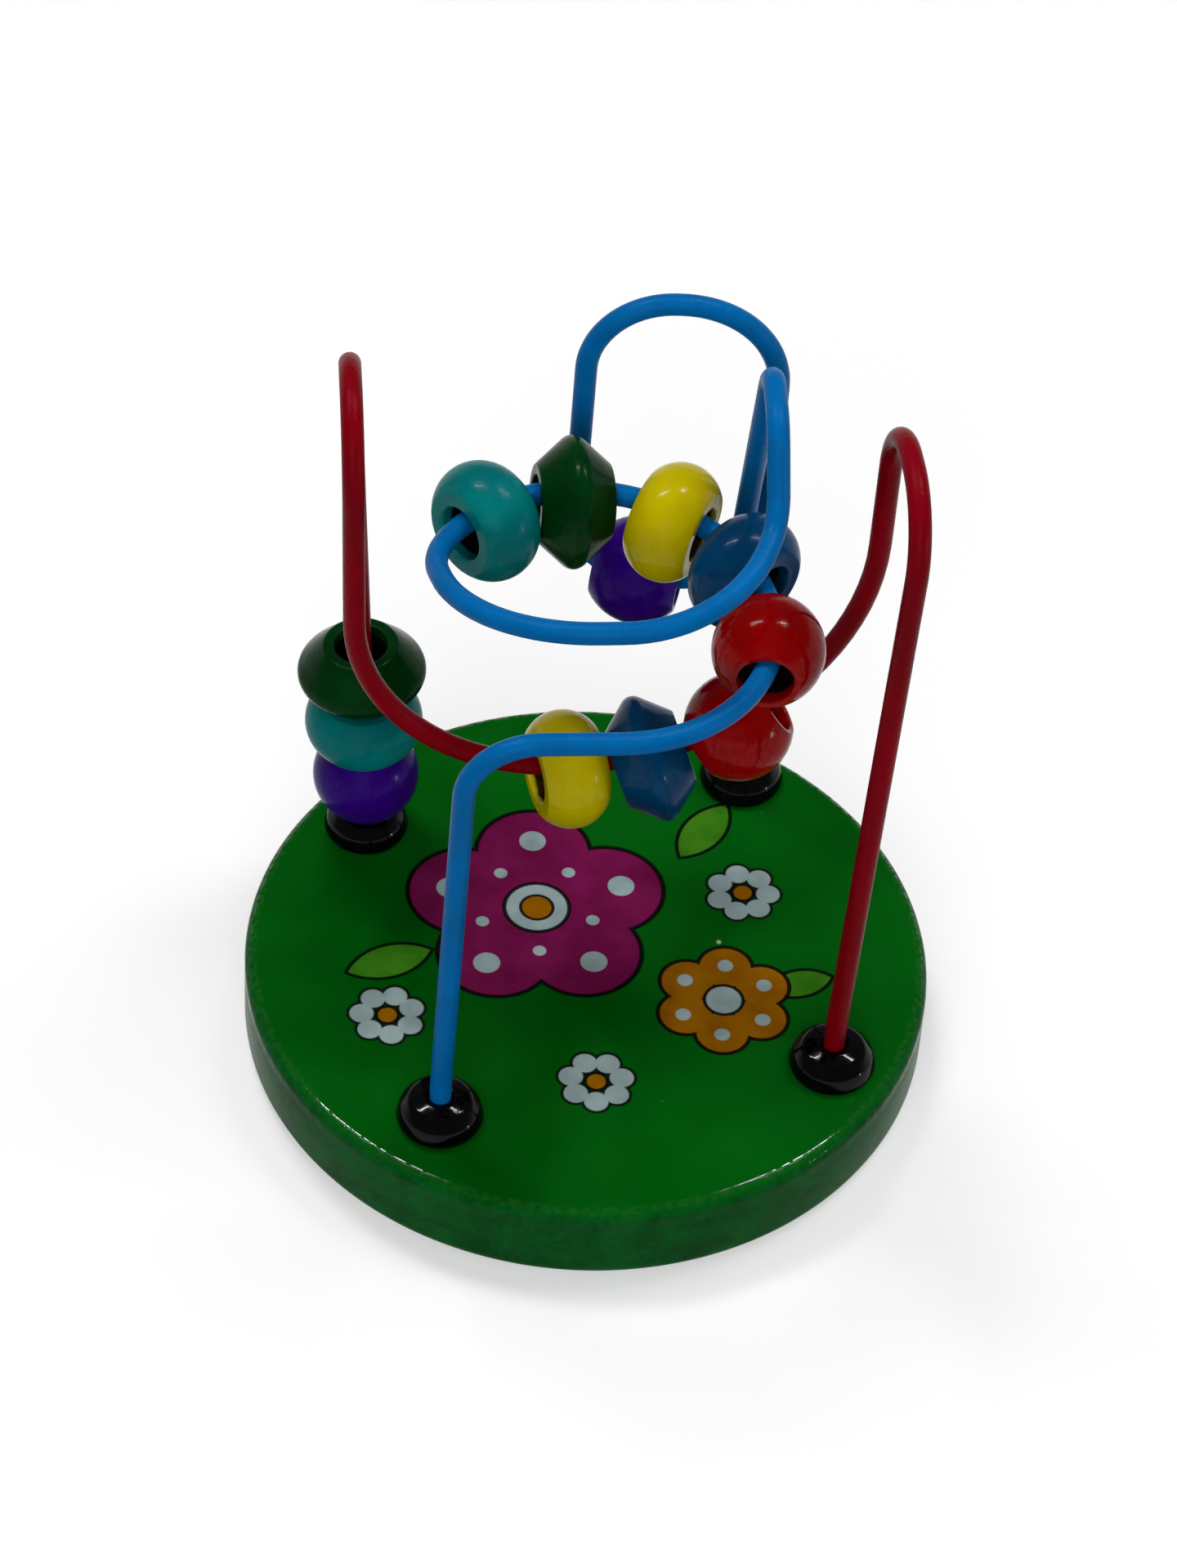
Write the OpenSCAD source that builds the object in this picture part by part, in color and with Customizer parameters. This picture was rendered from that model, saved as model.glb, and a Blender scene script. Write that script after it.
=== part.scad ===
// Small bead maze: a round wooden base, four plastic ferrules, two bent steel
// wires and twelve wooden beads that run on them.
// Millimetres. Z is up, the base stands on z = 0, the front of the toy faces -Y.

/* [Base] */
// diameter of the wooden disc
base_d = 96; // [88:1:110]
// thickness of the wooden disc
base_t = 13; // [11:0.5:18]
// rounding of the two rims
base_round = 2; // [1:0.2:4]

/* [Ferrules] */
// how far the circle of the four wire holes lies inside the rim of the disc
ring_in = 9; // [6:0.5:12]
// where that circle sits, left to right of the disc centre
ring_x = 1; // [-2:0.5:2]
// where that circle sits, front to back of the disc centre
ring_y = 1.5; // [-2:0.5:2]
// angle of the first hole, front right
ring_turn = -30; // [-45:1:0]
// diameter of the black cap
ferrule_d = 12; // [9:0.5:14]
// height of the black cap above the base
ferrule_h = 4.8; // [4:0.2:8]
// diameter of the shank below the cap
shank_d = 7; // [5.5:0.5:8]
// length of the shank
shank_l = 7; // [5:0.5:8]

/* [Wires] */
// diameter of both wires, paint included
wire_d = 3; // [2.5:0.1:3.5]
// how far a wire end goes below the top of the base
wire_in = 8; // [6:0.5:9]
// height of the tallest bend above the base
maze_h = 98.5; // [90:0.5:110]

/* [Coil] */
// radius of the round turn of the blue wire, as a share of that of the hole circle
coil_share = 0.59; // [0.55:0.005:0.615]
// tilt of that turn, the left side higher
coil_tilt = 4.5; // [2:0.5:7]

/* [Beads] */
// hole through every bead
bore_d = 7.4; // [6.6:0.1:7.6]
// diameter of a ball
ball_d = 15; // [13:0.5:15.5]
// length of a ball along its hole
ball_l = 12; // [11:0.2:12.8]
// largest diameter of a double cone
cone_d = 18; // [15:0.5:18.5]
// length of a double cone along its hole
cone_l = 10; // [9:0.2:10.8]
// diameter of a drum
drum_d = 16.5; // [13:0.5:17]
// length of a drum along its hole
drum_l = 9; // [8.6:0.2:9.8]

/* [Fits] */
// air between a bead and its wire or its neighbour
run_gap = 0.3; // [0.25:0.05:0.5]
// space between the beads that lie in the red valley
valley_gap = 1.7; // [0.8:0.05:3]
// space between the beads on the round turn
coil_gap = 4; // [1.5:0.1:5]
// air round a shank in its hole and round a wire in its ferrule
press_gap = 0.05; // [0.02:0.01:0.1]

/* [Hidden] */
$fn = 64;
// diameter of the circle of wire holes
ring_d = base_d - 2 * ring_in;
// plan and height factors that carry the wire routes along with the sizes above
span = ring_d / 78;
coil_r = coil_share * ring_d / 2;
lift = maze_h / 98.5;
bore_r = bore_d / 2;
wire_r = wire_d / 2;
// swell of the bends over the straight stretches, and the length one reaches into the other
swell = 0.1;
lap = 0.4;
wire_low = base_t - wire_in;
foot = base_t + ferrule_h + 2.5;
hole_l = wire_in + 1;

// centre of wire hole k: 0 front right, 1 back right, 2 back left, 3 front left
function hole(k) = [
  ring_x + ring_d / 2 * cos(ring_turn + 90 * k),
  ring_y + ring_d / 2 * sin(ring_turn + 90 * k)
];
function over(k, z) = [hole(k)[0], hole(k)[1], z];
// a route point: plan position and height above the base
function pt(x, y, h) = [x * span, y * span, base_t + h * lift];

// a route is a list of corners, each with the radius it is bent to
function unit(v) = v / norm(v);
function turn_of(p, i) = acos(max(-1, min(1, unit(p[i] - p[i - 1]) * unit(p[i + 1] - p[i]))));
function is_bend(p, i) = i > 0 && i < len(p) - 1;
function wish(p, r, i) = is_bend(p, i) ? r[i] * tan(turn_of(p, i) / 2) : 0;
function room(p, r, i) = min(1, (norm(p[i + 1] - p[i]) - 0.6) / max(0.001, wish(p, r, i) + wish(p, r, i + 1)));
function bend_r(p, r, i) = is_bend(p, i) ? r[i] * min(room(p, r, i - 1), room(p, r, i)) : 0;
function cut(p, r, i) = is_bend(p, i) ? bend_r(p, r, i) * tan(turn_of(p, i) / 2) : 0;
// a bend as centre, direction to its start, direction of travel there, axis, radius, turn
function bend_of(p, r, i) =
  let (
    u = unit(p[i] - p[i - 1]),
    w = unit(p[i + 1] - p[i]),
    n = unit(cross(u, w)),
    inward = cross(n, u),
    q = bend_r(p, r, i)
  ) [p[i] - u * cut(p, r, i) + inward * q, -inward, u, n, q, turn_of(p, i)];

// red wire, from the front right hole to the back left one
red_p = [
  over(0, wire_low), over(0, foot),
  pt(38.8, -12.5, 98.5), pt(35, 9, 98.5),
  pt(34.5, 9, 38), pt(-33, -1, 31),
  pt(-34, -1, 94.5), pt(-36.4, 20.5, 94.5),
  over(2, foot), over(2, wire_low)
];
red_r = span * [0, 80, 10.5, 10.5, 40, 29, 10.5, 10.5, 80, 0];

// round turn of the blue wire: its centre and the two directions of its plane
coil_c = pt(-1.5, -6, 72);
coil_u = [cos(coil_tilt), 0, -sin(coil_tilt)];
coil_v = [0, 1, 0];
coil_n = cross(coil_u, coil_v);
function on_coil(a, b) = coil_c + a * coil_u + b * coil_v;
function coil_at(angle, q) = on_coil(q * cos(angle), q * sin(angle));
// the front left leg ends in this plane and meets the turn along a tangent
top_a = -15.3 * span;
top_b = -26.2 * span;
tangent = atan2(-top_b, -top_a) - asin(coil_r / norm([top_a, top_b]));
coil_from = tangent - 90;
coil_to = 147;

// blue wire before the round turn, from the front left hole
blue_a_p = [over(3, wire_low), over(3, foot), on_coil(top_a, top_b), coil_at(coil_from, coil_r)];
blue_a_r = span * [0, 80, 9, 0];
// blue wire after it, to the back right hole
coil_end = coil_at(coil_to, coil_r);
coil_go = -sin(coil_to) * coil_u + cos(coil_to) * coil_v;
blue_b_p = [
  coil_end, coil_end + 6 * span * coil_go,
  pt(-17.5, -20, 80.5), pt(16, -19, 83.5), pt(20.8, -1.5, 86.5),
  pt(19.8, 4.5, 97.5), pt(18.8, 15.5, 97.5),
  pt(16.5, 29, 45), pt(-6, 30.5, 45),
  pt(-5.2, 32.5, 91.5), over(1, base_t + 90.5 * lift),
  over(1, wire_low)
];
blue_b_r = span * [0, 12, 22, 19, 7, 5.5, 5.5, 10, 10, 11, 14.5, 0];

// the bends the beads ride on: the red valley and the blue valley at the back
red_valley = bend_of(red_p, red_r, 4);
blue_valley = bend_of(blue_b_p, blue_b_r, 8);
// the straight back left leg, its foot and its direction upwards
stack_up = unit(red_p[7] - red_p[8]);

// how far a bead of length l sits off a bend of radius q without touching it
function sag(l, q) = l * l / 8 / q;
hang = bore_r - wire_r - run_gap - 0.12;

// how far along the wire each bead of the valley and of the round turn lies
valley_a = -0.42 * drum_l;
valley_b = valley_a + (drum_l + cone_l) / 2 + valley_gap;
valley_c = valley_b + (cone_l + ball_l) / 2 + valley_gap;
coil_a = 0.62 * drum_l;
coil_b = coil_a + (drum_l + cone_l) / 2 + coil_gap * 0.85;
coil_mid = coil_b + (cone_l + drum_l) / 2 + coil_gap * 1.1;
coil_d = coil_mid + drum_l + coil_gap;
coil_e = coil_d + (drum_l + ball_l) / 2 + coil_gap;
back_a = 1.26 * ball_l;

// pieces of wire
module rod(a, b) {
  v = b - a;
  translate(a) rotate([0, acos(v[2] / norm(v)), atan2(v[1], v[0])]) cylinder(d = wire_d, h = norm(v));
}

module frame_at(c, x, y, z) {
  multmatrix([
    [x[0], y[0], z[0], c[0]],
    [x[1], y[1], z[1], c[1]],
    [x[2], y[2], z[2], c[2]],
    [0, 0, 0, 1]
  ]) children();
}

module arc(q, turn) {
  rotate_extrude(angle = turn) translate([q, 0]) circle(d = wire_d + swell);
}

module route(p, r, lap_a, lap_b) {
  last = len(p) - 1;
  for (i = [0 : last - 1]) {
    v = unit(p[i + 1] - p[i]);
    rod(
      p[i] + v * (cut(p, r, i) - (i == 0 ? lap_a : lap)),
      p[i + 1] - v * (cut(p, r, i + 1) - (i == last - 1 ? lap_b : lap))
    );
  }
  for (i = [1 : last - 1]) {
    b = bend_of(p, r, i);
    frame_at(b[0], b[1], b[2], b[3]) arc(b[4], b[5]);
  }
}

// beads lie with the hole along X
module bore(l) {
  rotate([0, 90, 0]) cylinder(d = bore_d, h = l + 2, center = true);
}

module ball() {
  difference() {
    intersection() {
      sphere(d = ball_d);
      rotate([0, 90, 0]) cylinder(d = ball_d + 4, h = ball_l, center = true);
    }
    bore(ball_l);
  }
}

module cone() {
  flat_r = cone_d * 0.285;
  difference() {
    rotate([0, 90, 0]) rotate_extrude() polygon([
      [0, -cone_l / 2], [flat_r, -cone_l / 2], [cone_d / 2 - 0.7, -1.5], [cone_d / 2 - 0.15, -0.7],
      [cone_d / 2, 0], [cone_d / 2 - 0.15, 0.7], [cone_d / 2 - 0.7, 1.5], [flat_r, cone_l / 2], [0, cone_l / 2]
    ]);
    bore(cone_l);
  }
}

module drum() {
  bulge = drum_l * 0.6;
  difference() {
    rotate([0, 90, 0]) rotate_extrude() intersection() {
      translate([drum_d / 2 - bulge, 0]) circle(r = bulge);
      translate([0, -drum_l / 2]) square([drum_d, drum_l]);
    }
    bore(drum_l);
  }
}

// a bead on the round turn, its middle so far along the wire from the end of the turn;
// ease lifts it and yaw turns it on the wire
module on_turn(back, l, ease = 0, yaw = 0) {
  angle = coil_to - back / coil_r * 180 / PI;
  out = coil_u * cos(angle) + coil_v * sin(angle);
  along = -coil_u * sin(angle) + coil_v * cos(angle);
  frame_at(coil_at(angle, coil_r - sag(l, coil_r) / 2) - (hang - ease) * coil_n, along, -out, coil_n)
    rotate([0, 0, yaw]) children();
}

// a bead in a valley bend, its middle so far along the wire back from the low end of the bend;
// ease lifts one that reaches over the next, tighter bend, and yaw turns it on the wire
module in_valley(b, back, l, ease = 0, yaw = 0) {
  a = b[5] - back / b[4] * 180 / PI;
  out = b[1] * cos(a) + b[2] * sin(a);
  along = -b[1] * sin(a) + b[2] * cos(a);
  frame_at(b[0] + out * (b[4] + hang - sag(l, b[4]) - ease), along, cross(-out, along), -out)
    rotate([0, 0, yaw]) children();
}

// a bead on the back left leg, its lower face at a height above the ferrule
module on_leg(h, l) {
  c = red_p[8] + stack_up * ((base_t + ferrule_h + h + l / 2 - foot) / stack_up[2]);
  side = unit(cross(stack_up, [0, 1, 0]));
  frame_at(c, stack_up, cross(side, stack_up), -side) children();
}

// the base and its four blind holes
module base_disc() {
  q = base_round;
  r = base_d / 2;
  color([0.02, 0.3, 0.06]) difference() {
    rotate_extrude() polygon(concat(
      [[0, 0]],
      [for (a = [-90 : 15 : 0]) [r - q + q * cos(a), q + q * sin(a)]],
      [for (a = [0 : 15 : 90]) [r - q + q * cos(a), base_t - q + q * sin(a)]],
      [[0, base_t]]
    ));
    for (k = [0 : 3])
      translate(over(k, base_t - hole_l)) cylinder(d = shank_d + 2 * press_gap, h = hole_l + 1);
  }
}

// one ferrule: a domed cap with a shank, and the hole the wire goes through
module ferrule(k) {
  color([0.03, 0.03, 0.03]) translate(over(k, base_t + press_gap)) difference() {
    union() {
      intersection() {
        cylinder(d = ferrule_d, h = ferrule_h - press_gap);
        sphere(r = ferrule_d * 0.515);
      }
      translate([0, 0, -shank_l]) cylinder(d = shank_d, h = shank_l + 1);
    }
    translate([0, 0, -shank_l - 1]) cylinder(d = wire_d + 2 * press_gap, h = shank_l + ferrule_h + 2);
  }
}

module red_wire() {
  color([0.5, 0.02, 0.08]) route(red_p, red_r, 0, 0);
}

module blue_wire() {
  color([0.0, 0.35, 0.7]) {
    route(blue_a_p, blue_a_r, 0, lap);
    frame_at(coil_c, coil_u, coil_v, coil_n) rotate([0, 0, coil_from]) arc(coil_r, coil_to - coil_from);
    route(blue_b_p, blue_b_r, lap, 0);
  }
}

// beads stacked on the back left leg
module stack_ball_purple() {
  color([0.2, 0, 0.5]) on_leg(1.5 * run_gap, ball_l) ball();
}
module stack_drum_teal() {
  color([0, 0.45, 0.45]) on_leg(2.5 * run_gap + ball_l, drum_l) drum();
}
module stack_cone_green() {
  color([0, 0.22, 0.08]) on_leg(3.5 * run_gap + ball_l + drum_l, cone_l) cone();
}

// beads in the valley of the red wire
module valley_drum_yellow() {
  color([0.9, 0.8, 0]) in_valley(red_valley, valley_a, drum_l, 0.5, 13) drum();
}
module valley_cone_blue() {
  color([0, 0.25, 0.42]) in_valley(red_valley, valley_b, cone_l, 0.2, 8) cone();
}
module valley_ball_red() {
  color([0.55, 0, 0.02]) in_valley(red_valley, valley_c, ball_l, 0.1, 5) ball();
}

// beads on the round turn of the blue wire
module coil_ball_red() {
  color([0.55, 0, 0.02]) on_turn(coil_e, ball_l) ball();
}
module coil_drum_blue() {
  color([0, 0.25, 0.42]) on_turn(coil_d, drum_l, 0.5, 12) drum();
}
module coil_drum_yellow() {
  color([0.9, 0.8, 0]) on_turn(coil_mid, drum_l) drum();
}
module coil_cone_green() {
  color([0, 0.22, 0.08]) on_turn(coil_b, cone_l) cone();
}
module coil_drum_teal() {
  color([0, 0.45, 0.45]) on_turn(coil_a, drum_l) drum();
}

// the bead in the valley at the back
module back_ball_purple() {
  color([0.2, 0, 0.5]) in_valley(blue_valley, back_a, ball_l, 0.8, -6) ball();
}

base_disc();
ferrule(0);  // ferrule_front_right
ferrule(1);  // ferrule_back_right
ferrule(2);  // ferrule_back_left
ferrule(3);  // ferrule_front_left
red_wire();
blue_wire();
stack_ball_purple();
stack_drum_teal();
stack_cone_green();
valley_drum_yellow();
valley_cone_blue();
valley_ball_red();
coil_ball_red();
coil_drum_blue();
coil_drum_yellow();
coil_cone_green();
coil_drum_teal();
back_ball_purple();
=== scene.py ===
import math
import bpy
from mathutils import Matrix, Vector


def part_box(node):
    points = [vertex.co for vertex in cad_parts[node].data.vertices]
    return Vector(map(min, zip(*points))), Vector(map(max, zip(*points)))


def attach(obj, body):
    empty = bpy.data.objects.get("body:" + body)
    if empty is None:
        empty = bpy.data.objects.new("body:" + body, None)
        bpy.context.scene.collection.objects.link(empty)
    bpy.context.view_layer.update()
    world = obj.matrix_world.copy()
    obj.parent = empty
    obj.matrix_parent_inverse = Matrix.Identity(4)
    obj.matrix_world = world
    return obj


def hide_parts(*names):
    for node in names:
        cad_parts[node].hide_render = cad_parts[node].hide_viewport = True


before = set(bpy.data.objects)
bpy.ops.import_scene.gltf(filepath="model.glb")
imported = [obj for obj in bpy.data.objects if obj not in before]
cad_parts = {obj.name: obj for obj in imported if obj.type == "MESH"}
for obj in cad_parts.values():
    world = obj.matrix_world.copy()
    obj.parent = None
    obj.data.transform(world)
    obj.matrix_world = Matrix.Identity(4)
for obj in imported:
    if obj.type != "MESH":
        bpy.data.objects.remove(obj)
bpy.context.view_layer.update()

# Base: a disc of solid wood with both rims sanded round and four blind holes,
# dipped in green lacquer that pools on the top and runs blotchy on the side.
# A paler flecked band along the rounded top rim is painted sheen.
# Flowers are printed on the top under the last coat.
base_radius = 0.048
base_height = 0.013
rim_round = 0.002
hole_radius = 0.00355
hole_floor = 0.004
hole_circle = 0.039
hole_middle = (0.001, 0.0015)
first_hole_turn = -30
holes = []
for quarter in range(4):
    turn = math.radians(first_hole_turn + 90 * quarter)
    x_at = hole_middle[0] + hole_circle * math.cos(turn)
    y_at = hole_middle[1] + hole_circle * math.sin(turn)
    holes.append((x_at, y_at))


def start_piece():
    """Leaves edit mode and deselects all, so that the next operators work on one new piece."""
    if bpy.context.object and bpy.context.object.mode == "EDIT":
        bpy.ops.object.mode_set(mode="OBJECT")
    bpy.ops.object.select_all(action="DESELECT")


def named(name):
    """Names the primitive that was just added."""
    piece = bpy.context.object
    piece.name = name
    piece.data.name = name
    return piece


def choose(piece):
    """Makes the piece the only selected one, and the active one."""
    bpy.ops.object.select_all(action="DESELECT")
    piece.select_set(True)
    bpy.context.view_layer.objects.active = piece


def settle(piece):
    """Puts the piece's place into its mesh, so that the object sits at the origin."""
    bpy.ops.object.mode_set(mode="OBJECT")
    choose(piece)
    bpy.ops.object.transform_apply(location=True, rotation=True, scale=True)


def pick_rim(height):
    """Selects the outer edge of the disc at that height, and stays in edit mode."""
    hair = 1e-5
    bpy.ops.object.mode_set(mode="EDIT")
    bpy.ops.mesh.select_mode(type="EDGE")
    bpy.ops.mesh.select_all(action="DESELECT")
    bpy.ops.object.mode_set(mode="OBJECT")
    on_rim = []
    for point in base.data.vertices:
        outside = math.hypot(point.co.x, point.co.y) > base_radius - hair
        on_rim.append(outside and abs(point.co.z - height) < hair)
    for edge in base.data.edges:
        edge.select = all(on_rim[v] for v in edge.vertices)
    bpy.ops.object.mode_set(mode="EDIT")


start_piece()
bpy.ops.mesh.primitive_cylinder_add(
    vertices=192, radius=base_radius, depth=base_height, location=(0, 0, base_height / 2))
base = named("base_lacquered")
settle(base)
for rim_height, rim_steps in ((base_height, 8), (0, 6)):
    pick_rim(rim_height)
    bpy.ops.mesh.bevel(offset=rim_round, segments=rim_steps, profile=0.5, affect="EDGES")
settle(base)
drill_length = 0.02
for x_at, y_at in holes:
    start_piece()
    bpy.ops.mesh.primitive_cylinder_add(
        vertices=48, radius=hole_radius, depth=drill_length,
        location=(x_at, y_at, hole_floor + drill_length / 2))
    drill = named("drill")
    cut = base.modifiers.new("drill", "BOOLEAN")
    cut.operation = "DIFFERENCE"
    cut.solver = "EXACT"
    cut.object = drill
    bpy.context.view_layer.objects.active = base
    bpy.ops.object.modifier_apply(modifier=cut.name)
    bpy.data.objects.remove(drill, do_unlink=True)
choose(base)
bpy.ops.object.shade_smooth_by_angle(angle=math.radians(30))


class Tone:
    """A socket of a finish. Arithmetic on it adds Math nodes."""

    def __init__(self, tree, socket):
        self.tree = tree
        self.socket = socket

    def put(self, kind, inputs, out=0, **settings):
        """Adds a node with its settings, feeds its sockets and gives one of its outputs."""
        made = self.tree.nodes.new("ShaderNode" + kind)
        for key, value in settings.items():
            setattr(made, key, value)
        for key, value in inputs.items():
            if isinstance(value, Tone):
                self.tree.links.new(value.socket, made.inputs[key])
            else:
                made.inputs[key].default_value = value
        return Tone(self.tree, made.outputs[out])

    def maths(self, operation, *others):
        """A Math node whose first value is this one."""
        return self.put("Math", dict(enumerate((self, *others))), operation=operation)

    def __add__(self, other):
        return self.maths("ADD", other)

    def __radd__(self, other):
        return self.maths("ADD", other)

    def __sub__(self, other):
        return self.maths("SUBTRACT", other)

    def __rsub__(self, other):
        return self.put("Math", {0: other, 1: self}, operation="SUBTRACT")

    def __mul__(self, other):
        return self.maths("MULTIPLY", other)

    def __rmul__(self, other):
        return self.maths("MULTIPLY", other)

    def ease(self, low, high):
        """0 below low, 1 above high, smooth between."""
        ends = {0: self, 1: low, 2: high, 3: 0.0, 4: 1.0}
        return self.put("MapRange", ends, interpolation_type="SMOOTHSTEP")

    def blend(self, under, over):
        """Mixes two colours, this value being the share of the second."""
        return self.put("Mix", {0: self, 6: under, 7: over}, out=2, data_type="RGBA")

    def grain(self, scale, detail=2.0, rough=0.5, twist=0.0):
        """Noise on this vector, from 0 to 1."""
        return self.put("TexNoise", {
            "Vector": self, "Scale": scale, "Detail": detail, "Roughness": rough, "Distortion": twist,
        })

    def feed(self, shader, name):
        """Links this value to a socket of the shader."""
        self.tree.links.new(self.socket, shader.inputs[name])

    def emboss(self, shader, strength, distance):
        """Gives the shader a bump of this height."""
        sockets = {"Strength": strength, "Distance": distance, "Height": self}
        self.put("Bump", sockets).feed(shader, "Normal")


def paint(red, green, blue):
    """A colour as seen on a screen, 0 to 255, as the shader wants it."""
    linear = []
    for value in (red, green, blue):
        value = value / 255
        linear.append(value / 12.92 if value <= 0.04045 else ((value + 0.055) / 1.055) ** 2.4)
    return (*linear, 1.0)


def new_finish(name, constants):
    """A finish with its constant sockets: the material, its shader, and the place in millimetres."""
    finish = bpy.data.materials.new(name)
    finish.use_nodes = True
    tree = finish.node_tree
    shader = tree.nodes["Principled BSDF"]
    for socket, value in constants.items():
        shader.inputs[socket].default_value = value
    where = tree.nodes.new("ShaderNodeTexCoord")
    place = Tone(tree, where.outputs["Object"])
    place = place.put("VectorMath", {0: place, "Scale": 1000.0}, operation="SCALE")
    return finish, shader, place


def wear(piece, finish):
    """Gives the piece that one finish."""
    piece.data.materials.clear()
    piece.data.materials.append(finish)


lacquer, shader, place = new_finish("green_lacquer", {"Specular IOR Level": 0.025, "Coat Roughness": 0.06})
x, y, z = (place.put("SeparateXYZ", {0: place}, out=axis) for axis in range(3))
# Heights on the lacquer are in millimetres, counted down from the top face.
top = base_height * 1000
on_top = z.ease(top - 1.4, top - 0.1)
pools = place.grain(0.04, 2.0, 0.5, 0.4)
runs = place.grain(0.16, 4.0, 0.6, 0.8)
flecks = place.grain(0.9, 3.0, 0.6)
top_green = pools.ease(0.28, 0.7).blend(paint(0, 76, 8), paint(4, 95, 16))
blotches = (runs * 0.75 + flecks * 0.25).ease(0.26, 0.76)
side_green = blotches.blend(paint(0, 66, 16), paint(10, 98, 36))
green = on_top.blend(side_green, top_green)
# A paler flecked band along the rounded top rim: painted sheen where the rim catches the light.
rim_band = z.ease(top - 2.4, top - 1.0) * (1 - z.ease(top - 0.4, top - 0.05))
painted_rim_sheen = rim_band * flecks.ease(0.45, 0.8) * 0.3
green = painted_rim_sheen.blend(green, paint(24, 104, 46))
dust_cells = {"Vector": place, "Scale": 0.16}
from_speck = place.put("TexVoronoi", dust_cells, out=0, feature="F1")
lot = place.put("TexVoronoi", dust_cells, out=1, feature="F1")
lot = lot.put("SeparateColor", {0: lot}, out=0)
dust = (1 - from_speck.ease(0.03, 0.09)) * lot.ease(0.74, 0.76) * on_top
green = (dust * 0.75).blend(green, paint(190, 205, 190))


def distance(across, along):
    """How far two offsets lead away."""
    return (across * across + along * along).maths("SQRT")


def petals(middle, count, reach, radius, turn):
    """Signed distance in millimetres to a ring of round petals."""
    across = x - middle[0]
    along = y - middle[1]
    far = distance(across, along)
    angle = along.maths("ARCTAN2", across) + (math.radians(turn) + 2 * math.pi)
    share = 2 * math.pi / count
    angle = angle.maths("MODULO", share) - share / 2
    out = far * angle.maths("COSINE") - reach
    side = far * angle.maths("SINE")
    return distance(out, side) - radius


def disc(middle, radius):
    """Signed distance in millimetres to a round spot."""
    return distance(x - middle[0], y - middle[1]) - radius


def leaf(middle, turn, length, width):
    """Signed distance in millimetres to a pointed leaf, the overlap of two circles."""
    c = math.cos(math.radians(turn))
    s = math.sin(math.radians(turn))
    across = (x - middle[0]) * c + (y - middle[1]) * s
    along = (y - middle[1]) * c - (x - middle[0]) * s
    big = (length * length + width * width) / (4 * width)
    along = along.maths("ABSOLUTE") + (big - width / 2)
    return distance(across, along) - big


ink_edge = 0.08
outline_cover = 0.96
outline_black = paint(8, 10, 8)


def within(shape):
    """1 inside a shape, 0 outside."""
    return 1 - shape.ease(-ink_edge, ink_edge)


def print_shape(ground, shape, colour, line):
    """Prints a filled shape with a black outline of that width on a ground colour."""
    inked = within(shape).blend(ground, colour)
    off_line = shape.maths("ABSOLUTE").ease(line / 2 - ink_edge, line / 2 + ink_edge)
    return ((1 - off_line) * outline_cover).blend(inked, outline_black)


patchy = place.grain(0.12, 3.0, 0.6).ease(0.3, 0.7)
magenta = patchy.blend(paint(102, 14, 62), paint(122, 22, 78))
orange = patchy.blend(paint(132, 80, 0), paint(156, 100, 4))
chalk = patchy.blend(paint(132, 150, 150), paint(160, 180, 180))
lime = patchy.blend(paint(44, 108, 16), paint(66, 130, 26))
# Leaves are given by middle, turn, length and width, and daisies by middle and turn.
leaves = (((-27.5, -4.5), 205, 13, 6), ((15.5, 24.5), 60, 13, 6), ((30, -3.5), 20, 10, 5))
large_flower = (-7.5, 7.5)
orange_flower = (19.5, -7.5)
daisies = (((2.5, -24.0), 10), ((21.5, 13.0), 25), ((-27.0, -14.5), 0))
printed = green
for middle, turn, length, width in leaves:
    printed = print_shape(printed, leaf(middle, turn, length, width), lime, 0.55)
printed = print_shape(printed, petals(large_flower, 5, 10.5, 8.2, 12), magenta, 0.7)
printed = within(petals(large_flower, 5, 12.8, 1.9, 12)).blend(printed, chalk)
printed = within(petals(large_flower, 5, 8.2, 0.95, 48)).blend(printed, chalk)
printed = print_shape(printed, disc(large_flower, 4.6), chalk, 0.6)
printed = print_shape(printed, disc(large_flower, 2.3), orange, 0.45)
printed = print_shape(printed, petals(orange_flower, 6, 6.0, 3.9, 0), orange, 0.6)
printed = within(petals(orange_flower, 6, 6.4, 1.1, 0)).blend(printed, chalk)
printed = print_shape(printed, disc(orange_flower, 2.7), chalk, 0.5)
for middle, turn in daisies:
    printed = print_shape(printed, petals(middle, 7, 3.6, 1.9, turn), chalk, 0.45)
    printed = print_shape(printed, disc(middle, 1.5), orange, 0.4)
on_print = z.ease(top - 0.1, top - 0.03)
on_print.blend(green, printed).feed(shader, "Base Color")
low_side = 1 - z.ease(top - 3.5, top - 2.0)
gloss = runs.ease(0.3, 0.8) * 0.05 + low_side * 0.2 + 0.06
gloss.feed(shader, "Roughness")
near_rim = z.ease(top - 3.5, top - 1.8) * (1 - z.ease(top - 0.3, top - 0.02))
swell = place.grain(0.11) * 0.5 + place.grain(0.55) * (near_rim * 0.5 + 0.12)
swell.emboss(shader, 0.2, 0.0012)
lip = z.ease(top - 0.7, top - 0.3) * (1 - z.ease(top - 0.05, top - 0.01))
clear = lip * place.grain(1.1, 3.0).ease(0.42, 0.56) * 0.7
clear.feed(shader, "Coat Weight")
wear(base, lacquer)
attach(base, "frame")
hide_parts("base_disc")

# Ferrules: four domed caps moulded in gloss black plastic, pressed into the base
# with a shank, each with a dimple where the wire goes in. Their outline is given
# as corners of radius, height over the base and rounding, in millimetres.
cap_outline = [
    (1.56, 4.4, 0.2), (1.56, -6.9, 0), (3.45, -6.9, 0.3), (3.45, 0, 0), (5.75, 0, 0.25),
    (6.0, 0.9, 0.6), (5.55, 2.5, 1.8), (4.3, 4.0, 2.0), (2.2, 4.65, 0.9),
]
cap_lift = 0.00005
corner_steps = 5
lathe_steps = 72
weld = 1e-6


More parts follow.
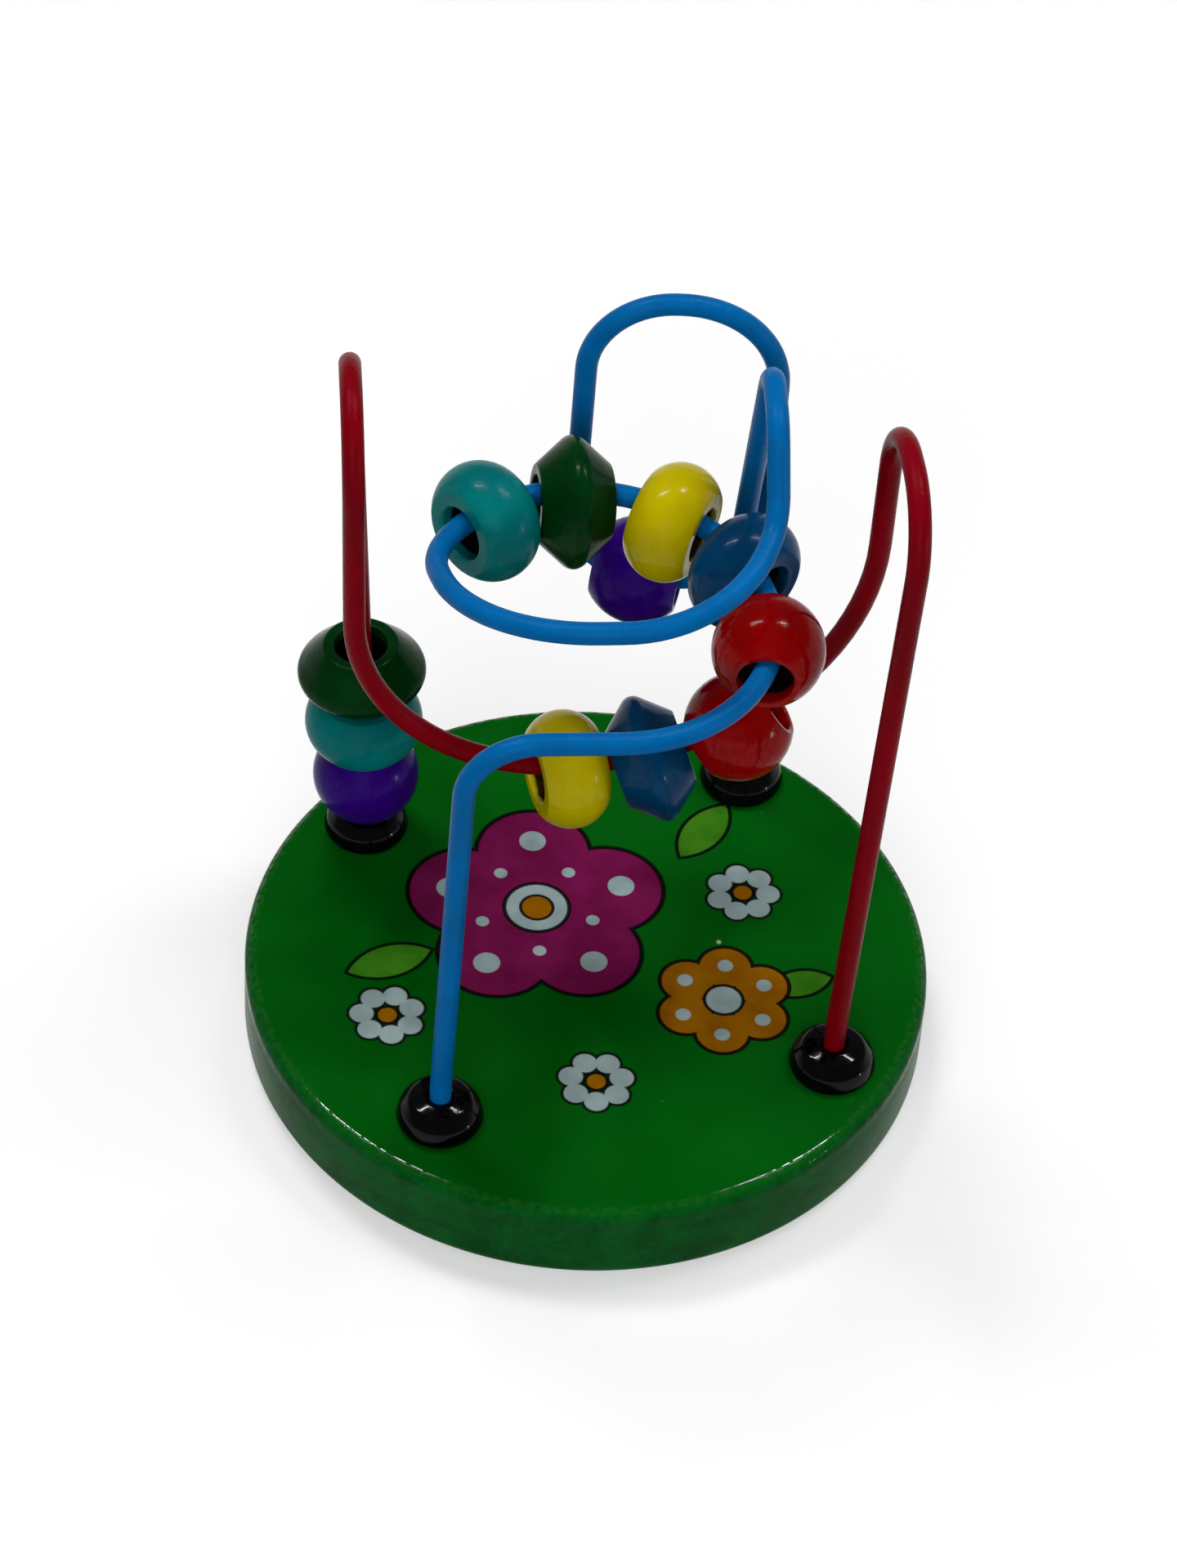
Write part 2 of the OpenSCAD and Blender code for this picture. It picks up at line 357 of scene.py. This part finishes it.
def softened(corners):
    """Points along a closed outline of (radius, height, rounding) corners, each corner rounded."""
    points = []
    for i, (radius, height, rounding) in enumerate(corners):
        here = Vector((radius, height))
        if rounding == 0:
            points.append(here)
            continue
        back = (Vector(corners[i - 1][:2]) - here).normalized()
        on = (Vector(corners[(i + 1) % len(corners)][:2]) - here).normalized()
        half = back.angle(on) / 2
        reach = rounding / math.tan(half)
        middle = here + (back + on).normalized() * (rounding / math.sin(half))
        first = here + back * reach - middle
        last = here + on * reach - middle
        sweep = first.angle_signed(last)
        for k in range(corner_steps + 1):
            c = math.cos(-sweep * k / corner_steps)
            s = math.sin(-sweep * k / corner_steps)
            points.append(middle + Vector((first.x * c - first.y * s, first.x * s + first.y * c)))
    return points


def chain(name, points):
    """Draws a line through points in millimetres by one extrusion after the other, in edit mode."""
    start_piece()
    bpy.ops.mesh.primitive_plane_add(size=0.001, location=(0, 0, 0))
    piece = named(name)
    bpy.ops.object.mode_set(mode="EDIT")
    bpy.ops.mesh.select_mode(type="VERT")
    bpy.ops.mesh.select_all(action="SELECT")
    bpy.ops.mesh.merge(type="CENTER")
    bpy.ops.transform.translate(value=points[0] / 1000)
    for before, after in zip(points, points[1:]):
        bpy.ops.mesh.extrude_region_move(TRANSFORM_OT_translate={"value": (after - before) / 1000})
    return piece


def turned(name, corners):
    """Draws half a section and spins it about Z, as on a lathe."""
    outline = [Vector((p.x, 0, p.y)) for p in softened(corners)]
    piece = chain(name, outline + outline[:1])
    bpy.ops.mesh.select_all(action="SELECT")
    bpy.ops.mesh.remove_doubles(threshold=weld)
    bpy.ops.mesh.select_all(action="SELECT")
    bpy.ops.mesh.spin(steps=lathe_steps, angle=2 * math.pi, center=(0, 0, 0), axis=(0, 0, 1))
    bpy.ops.mesh.select_all(action="SELECT")
    bpy.ops.mesh.remove_doubles(threshold=weld)
    bpy.ops.mesh.normals_make_consistent(inside=False)
    bpy.ops.object.mode_set(mode="OBJECT")
    bpy.ops.object.shade_smooth_by_angle(angle=math.radians(50))
    return piece


def copy_of(pattern, name, place):
    """A copy with its own mesh, which a matrix puts in its place."""
    piece = pattern.copy()
    piece.data = pattern.data.copy()
    piece.name = name
    bpy.context.collection.objects.link(piece)
    piece.data.transform(place)
    return piece


cap = turned("cap_pattern", cap_outline)
plastic, shader, place = new_finish("black_plastic", {
    "Specular IOR Level": 0.05, "Coat Weight": 0.16, "Coat Roughness": 0.05,
})
scuffs = place.grain(0.5, 4.0, 0.65)
black = scuffs.ease(0.35, 0.75).blend(paint(1, 1, 2), paint(5, 5, 6))
black.feed(shader, "Base Color")
gloss = scuffs.ease(0.4, 0.8) * 0.12 + 0.08
gloss.feed(shader, "Roughness")
place.grain(0.22).emboss(shader, 0.25, 0.0006)
wear(cap, plastic)
for corner, (x_at, y_at) in zip(("front_right", "back_right", "back_left", "front_left"), holes):
    seat = Matrix.Translation((x_at, y_at, base_height + cap_lift))
    ferrule = copy_of(cap, "cap_" + corner, seat)
    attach(ferrule, "frame")
    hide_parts("ferrule_" + corner)
bpy.data.objects.remove(cap, do_unlink=True)

# Wires: two lengths of steel rod, bent over formers and dipped in satin paint, red and blue,
# their ends glued into the ferrules. Both run from a front hole to the back hole across.
# Routes are in millimetres, each corner with the radius it is bent to.
wire_radius = 0.0015
wire_end = 5.0
wire_foot = 20.3
least_straight = 0.6
bend_step = 4


def over(quarter, height):
    """The point at that height over a hole."""
    return Vector((holes[quarter][0] * 1000, holes[quarter][1] * 1000, height))


def above(x_at, y_at, height):
    """A corner of a route: its place on the plan and its height above the base."""
    return Vector((x_at, y_at, base_height * 1000 + height))


def bent(corners, radii):
    """Close points along a route, each corner bent to its radius or as far as there is room."""
    last = len(corners) - 1
    way = [(corners[i + 1] - corners[i]).normalized() for i in range(last)]
    swing = [0.0] + [way[i - 1].angle(way[i]) for i in range(1, last)] + [0.0]
    wish = [q * math.tan(a / 2) for q, a in zip(radii, swing)]
    room = []
    for i in range(last):
        free = (corners[i + 1] - corners[i]).length - least_straight
        room.append(min(1.0, free / max(0.001, wish[i] + wish[i + 1])))
    points = [corners[0]]
    for i in range(1, last):
        q = radii[i] * min(room[i - 1], room[i])
        inward = way[i - 1].cross(way[i]).cross(way[i - 1]).normalized()
        middle = corners[i] - way[i - 1] * (q * math.tan(swing[i] / 2)) + inward * q
        steps = max(3, round(math.degrees(swing[i]) / bend_step))
        for k in range(steps + 1):
            a = swing[i] * k / steps
            points.append(middle - inward * (q * math.cos(a)) + way[i - 1] * (q * math.sin(a)))
    return points + [corners[-1]]


def drawn(name, points):
    """Gives a line of points the round section of the wire."""
    piece = chain(name, points)
    bpy.ops.object.mode_set(mode="OBJECT")
    bpy.ops.object.convert(target="CURVE")
    piece.data.bevel_depth = wire_radius
    piece.data.bevel_resolution = 8
    piece.data.use_fill_caps = True
    bpy.ops.object.convert(target="MESH")
    bpy.ops.object.shade_smooth_by_angle(angle=math.radians(50))
    return piece


red_route = bent([
    over(0, wire_end), over(0, wire_foot),
    above(38.8, -12.5, 98.5), above(35, 9, 98.5),
    above(34.5, 9, 38), above(-33, -1, 31),
    above(-34, -1, 94.5), above(-36.4, 20.5, 94.5),
    over(2, wire_foot), over(2, wire_end),
], [0, 80, 10.5, 10.5, 40, 29, 10.5, 10.5, 80, 0])

turn_middle = above(-1.5, -6, 72)
turn_radius = 23.01
turn_tilt = math.radians(4.5)
turn_steps = 57
straight_after_turn = 6
turn_across = Vector((math.cos(turn_tilt), 0, -math.sin(turn_tilt)))
turn_back = Vector((0, 1, 0))
top_left = Vector((-15.3, -26.2))


def on_turn(angle):
    """A point of the round turn of the blue wire."""
    across = turn_across * (turn_radius * math.cos(angle))
    back = turn_back * (turn_radius * math.sin(angle))
    return turn_middle + across + back


meets = math.atan2(-top_left.y, -top_left.x) - math.asin(turn_radius / top_left.length) - math.pi / 2
leaves_turn = math.radians(147)
blue_route = bent([
    over(3, wire_end), over(3, wire_foot),
    turn_middle + turn_across * top_left.x + turn_back * top_left.y, on_turn(meets),
], [0, 80, 9, 0])
for k in range(1, turn_steps):
    blue_route.append(on_turn(meets + (leaves_turn - meets) * k / turn_steps))
onward = turn_back * math.cos(leaves_turn) - turn_across * math.sin(leaves_turn)
blue_route += bent([
    on_turn(leaves_turn), on_turn(leaves_turn) + onward * straight_after_turn,
    above(-17.5, -20, 80.5), above(16, -19, 83.5), above(20.8, -1.5, 86.5),
    above(19.8, 4.5, 97.5), above(18.8, 15.5, 97.5),
    above(16.5, 29, 45), above(-6, 30.5, 45),
    above(-5.2, 32.5, 91.5), over(1, 103.5), over(1, wire_end),
], [0, 12, 22, 19, 7, 5.5, 5.5, 10, 10, 11, 14.5, 0])


def wire_paint(name, deep, bright):
    """Satin paint on a wire, a little patchy along its length, with dull rubbed spots."""
    finish, shader, place = new_finish(name, {"Specular IOR Level": 0.045})
    patches = place.grain(0.06, 3.0, 0.6, 0.4)
    specks = place.grain(1.4, 2.0, 0.6)
    colour = (patches * 0.8 + specks * 0.2).ease(0.35, 0.68).blend(deep, bright)
    colour.feed(shader, "Base Color")
    gloss = patches.ease(0.3, 0.7) * 0.12 + 0.27
    gloss.feed(shader, "Roughness")
    specks.emboss(shader, 0.2, 0.0004)
    return finish


for colour, route, deep, bright in (
    ("red", red_route, paint(114, 0, 10), paint(136, 0, 20)),
    ("blue", blue_route, paint(0, 98, 162), paint(0, 111, 185)),
):
    wire = drawn(colour + "_wire_painted", route)
    wear(wire, wire_paint(colour + "_wire_paint", deep, bright))
    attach(wire, "frame")
    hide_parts(colour + "_wire")
    "wire_" + colour

# Beads: turned from wood in three forms, a ball, a fat ring and a double cone, each drilled,
# with the rims of the hole broken, and dipped in gloss enamel that does not reach far into
# the hole. Outlines are corners of radius, height and rounding, in millimetres.
bore = 3.7
bore_rim = 0.9
ball_half = 6.0
ring_half = 4.5
cone_half = 5.0
bore_wall = [(bore, 3.4, 0), (bore, 1.2, 0), (bore, -1.2, 0), (bore, -3.4, 0)]
bulge_steps = 9


def half_round(radius, middle, lean_most):
    """The bulging side of a ball or a ring, as close points."""
    side = []
    for k in range(-bulge_steps, bulge_steps + 1):
        lean = math.radians(lean_most * k / bulge_steps)
        side.append((middle + radius * math.cos(lean), radius * math.sin(lean), 0))
    return side


ball = turned("ball_pattern", [
    *bore_wall, (bore, -ball_half, 0.4), (4.5, -ball_half, 0.1),
    *half_round(7.5, 0, 51),
    (4.5, ball_half, 0.1), (bore, ball_half, 0.4),
])
ring = turned("ring_pattern", [
    *bore_wall, (bore, -ring_half, 0.5), (5.83, -ring_half, 0.5),
    *half_round(5.4, 2.85, 50),
    (5.83, ring_half, 0.5), (bore, ring_half, 0.5),
])
cone = turned("cone_pattern", [
    *bore_wall, (bore, -cone_half, 0.3), (5.13, -cone_half, 0.5),
    (9.55, 0, 1.8),
    (5.13, cone_half, 0.5), (bore, cone_half, 0.3),
])
for pattern, half in ((ball, ball_half), (ring, ring_half), (cone, cone_half)):
    depth = pattern.data.attributes.new("hole_depth", "FLOAT", "POINT")
    for v, value in zip(pattern.data.vertices, depth.data):
        inside = math.hypot(v.co.x, v.co.y) * 1000 < bore + bore_rim
        value.value = max(0.0, half - abs(v.co.z) * 1000) if inside else 0.0

# Bare wood inside the bores is drawn nearly black as painted shade; the yellow beads show paler wood.
bore_wood_painted_shade = (paint(8, 6, 5), paint(24, 16, 9))
pale_wood = (paint(26, 15, 5), paint(70, 45, 18))


def enamel(name, deep, bright, rim, gloss, sheen, reach=1.4, wood=bore_wood_painted_shade):
    """Gloss enamel over turned wood, paler where it is thin at the hole, bare wood inside, drawn nearly
    black as painted shade unless a paler wood is given.
    """
    finish, shader, place = new_finish(name, {"Specular IOR Level": 0.045, "Coat Roughness": 0.08})
    clouds = place.grain(0.10, 3.0, 0.55, 0.4)
    peel = place.grain(0.45)
    drawn_out = place.put("VectorMath", {0: place, 1: (0.9, 0.9, 3.5)}, operation="MULTIPLY")
    fibre = drawn_out.grain(0.7, 4.0, 0.65)
    depth = place.put("Attribute", {}, out=2, attribute_name="hole_depth")
    colour = (clouds * 0.8 + fibre * 0.2).ease(0.34, 0.66).blend(deep, bright)
    thin = depth.ease(0.02, 0.12) * (1 - depth.ease(0.25, 0.6)) * peel.ease(0.42, 0.62)
    colour = (thin * 0.22).blend(colour, rim)
    bare = (depth + (peel - 0.5) * 0.8).ease(reach, reach + 0.5)
    # Deep in the bore: bare wood, nearly black as painted shade unless a paler wood is given.
    colour = bare.blend(colour, fibre.ease(0.3, 0.7).blend(*wood))
    colour.feed(shader, "Base Color")
    dull = bare * 0.45 + clouds.ease(0.3, 0.75) * 0.06 + gloss
    dull.feed(shader, "Roughness")
    clear = (place.grain(1.6).ease(0.42, 0.58) * 0.9 + 0.3) * sheen
    clear.feed(shader, "Coat Weight")
    height = peel * 0.5 + clouds * 0.5 + place.grain(2.2) * 0.18 + fibre * bare * 0.6
    height.emboss(shader, 0.2, 0.0008)
    return finish


enamels = {
    "purple": enamel("purple_enamel", paint(36, 0, 96), paint(48, 2, 122), paint(80, 50, 150), 0.2, 0.05),
    "teal": enamel("teal_enamel", paint(0, 106, 108), paint(0, 124, 122), paint(60, 150, 145), 0.25, 0.05),
    "green": enamel("dark_green_enamel", paint(0, 42, 8), paint(0, 56, 18), paint(40, 86, 50), 0.2, 0.04),
    "yellow": enamel("yellow_enamel", paint(190, 172, 0), paint(204, 187, 0), paint(214, 200, 70), 0.1, 0.1,
                     reach=0.35, wood=pale_wood),
    "blue": enamel("dark_blue_enamel", paint(0, 52, 88), paint(0, 68, 112), paint(40, 96, 136), 0.2, 0.07),
    "red": enamel("red_enamel", paint(132, 0, 0), paint(146, 0, 2), paint(176, 60, 60), 0.1, 0.1),
}


def seat_of(node):
    """Middle and hole direction of a bead: its flat ends are the largest faces that face one way."""
    low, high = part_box(node)
    middle = (Vector(low) + Vector(high)) / 2
    ways = {}
    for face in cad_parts[node].data.polygons:
        way = tuple(round(c, 2) for c in face.normal)
        area, total = ways.get(way, (0.0, Vector((0, 0, 0))))
        ways[way] = (area + face.area, total + face.normal * face.area)
    return middle, max(ways.values(), key=lambda one: one[0])[1].normalized()


# Each bead has its form and its turn about its own hole, in degrees.
beads = [
    ("stack_ball_purple", ball, 20), ("stack_drum_teal", ring, 75), ("stack_cone_green", cone, 130),
    ("valley_drum_yellow", ring, 200), ("valley_cone_blue", cone, 250), ("valley_ball_red", ball, 310),
    ("coil_ball_red", ball, 40), ("coil_drum_blue", ring, 100), ("coil_drum_yellow", ring, 160),
    ("coil_cone_green", cone, 220), ("coil_drum_teal", ring, 280), ("back_ball_purple", ball, 340),
]
for node, pattern, roll in beads:
    middle, way = seat_of(node)
    aim = Vector((0, 0, 1)).rotation_difference(way).to_matrix().to_4x4()
    seat = Matrix.Translation(middle) @ aim @ Matrix.Rotation(math.radians(roll), 4, "Z")
    bead = copy_of(pattern, "painted_" + node, seat)
    colour = node.rsplit("_", 1)[1]
    wear(bead, enamels[colour])
    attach(bead, node)
    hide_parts(node)
    "bead_" + colour
for pattern in (ball, ring, cone):
    bpy.data.objects.remove(pattern, do_unlink=True)

# Stage: a plain white floor that keeps the soft shadow, two ceiling strips that only give glints,
# a small lamp at the right, soft lamps that light the toy without glints, and the camera
# looking down on its front.
floor_size = 6
floor_drop = 0.0002
shadow_reach = 250
plain_white_from = 1000
start_piece()
bpy.ops.mesh.primitive_plane_add(size=floor_size, location=(0, 0, -floor_drop))
floor = named("floor")
board, shader, place = new_finish("white_floor", {
    "Roughness": 0.9, "Specular IOR Level": 0.0, "Emission Strength": 1.0,
})


def seen(tree):
    """1 where the eye, a mirror or glass sees the surface, 0 where it only passes light on."""
    rays = tree.nodes.new("ShaderNodeLightPath")
    share = Tone(tree, rays.outputs["Is Camera Ray"])
    for other in ("Is Glossy Ray", "Is Transmission Ray"):
        share = share.maths("MAXIMUM", Tone(tree, rays.outputs[other]))
    return share


def grey(value):
    """A plain grey as the shader wants it."""
    return (value, value, value, 1.0)


far = place.put("VectorMath", {0: place}, out=1, operation="LENGTH")
far = far.ease(shadow_reach, plain_white_from)
white = seen(place.tree).blend(grey(0.2), far.blend(grey(0.74), grey(0.0)))
white.feed(shader, "Base Color")
glow = seen(place.tree).blend(grey(0.0), far.blend(grey(0.39), grey(1.0)))
glow.feed(shader, "Emission Color")
wear(floor, board)

world = bpy.data.worlds.new("room")
bpy.context.scene.world = world
world.use_nodes = True
tree = world.node_tree
where = tree.nodes.new("ShaderNodeTexCoord")
skyward = Tone(tree, where.outputs["Generated"])
height = skyward.put("SeparateXYZ", {0: skyward}, out=2).ease(0.03, 0.3)
air = seen(tree).blend(grey(0.2), height.blend(grey(1.0), grey(0.2)))
air.feed(tree.nodes["Background"], "Color")

lamp_aim = Vector((0, 0, 0.05))


def lamp(name, at, size, power):
    """A flat lamp that points at the toy, its first side level along X."""
    light = bpy.data.lights.new(name, "AREA")
    light.shape = "RECTANGLE"
    light.size = size[0]
    light.size_y = size[1]
    light.energy = power
    holder = bpy.data.objects.new(name, light)
    bpy.context.collection.objects.link(holder)
    back = (Vector(at) - lamp_aim).normalized()
    long = (Vector((1, 0, 0)) - back * back.x).normalized()
    short = back.cross(long)
    holder.matrix_world = Matrix.Translation(at) @ Matrix((long, short, back)).transposed().to_4x4()
    return holder


lamp("ceiling_left", (-0.37, 0.22, 0.9), (0.36, 0.018), 2.9).visible_diffuse = False
lamp("ceiling_right", (0.37, 0.24, 0.9), (0.3, 0.018), 2.5).visible_diffuse = False
lamp("side_right", (0.95, -0.27, 0.14), (0.04, 0.12), 0.8)
lamp("soft_left", (-0.24, 0.34, 0.9), (0.28, 0.2), 3.1).visible_glossy = False
lamp("soft_right", (0.37, 0.24, 0.9), (0.4, 0.3), 2.1).visible_glossy = False
lamp("front_fill", (-0.15, -1.1, 0.6), (0.9, 0.9), 7.5).visible_glossy = False

camera_tilt = math.radians(48.185)
camera_roll = math.radians(3.907)
camera_aim = Vector((0, 0, 0.013212))
camera_distance = 0.746139
focal_pixels = 6500
picture_height = 1919
sensor = 36
away = Vector((0, -math.cos(camera_tilt), math.sin(camera_tilt)))
level_right = Vector((1, 0, 0))
level_up = away.cross(level_right)
right = level_right * math.cos(camera_roll) + level_up * math.sin(camera_roll)
up = level_up * math.cos(camera_roll) - level_right * math.sin(camera_roll)
spot = camera_aim + away * camera_distance
lens = bpy.data.cameras.new("camera")
lens.sensor_width = sensor
lens.lens = sensor * focal_pixels / picture_height
lens.shift_x = 0.0009
lens.shift_y = 0.1055
lens.clip_start = 0.01
camera = bpy.data.objects.new("camera", lens)
bpy.context.collection.objects.link(camera)
camera.matrix_world = Matrix.Translation(spot) @ Matrix((right, up, away)).transposed().to_4x4()
bpy.context.scene.camera = camera
bpy.context.scene.view_settings.view_transform = "Standard"
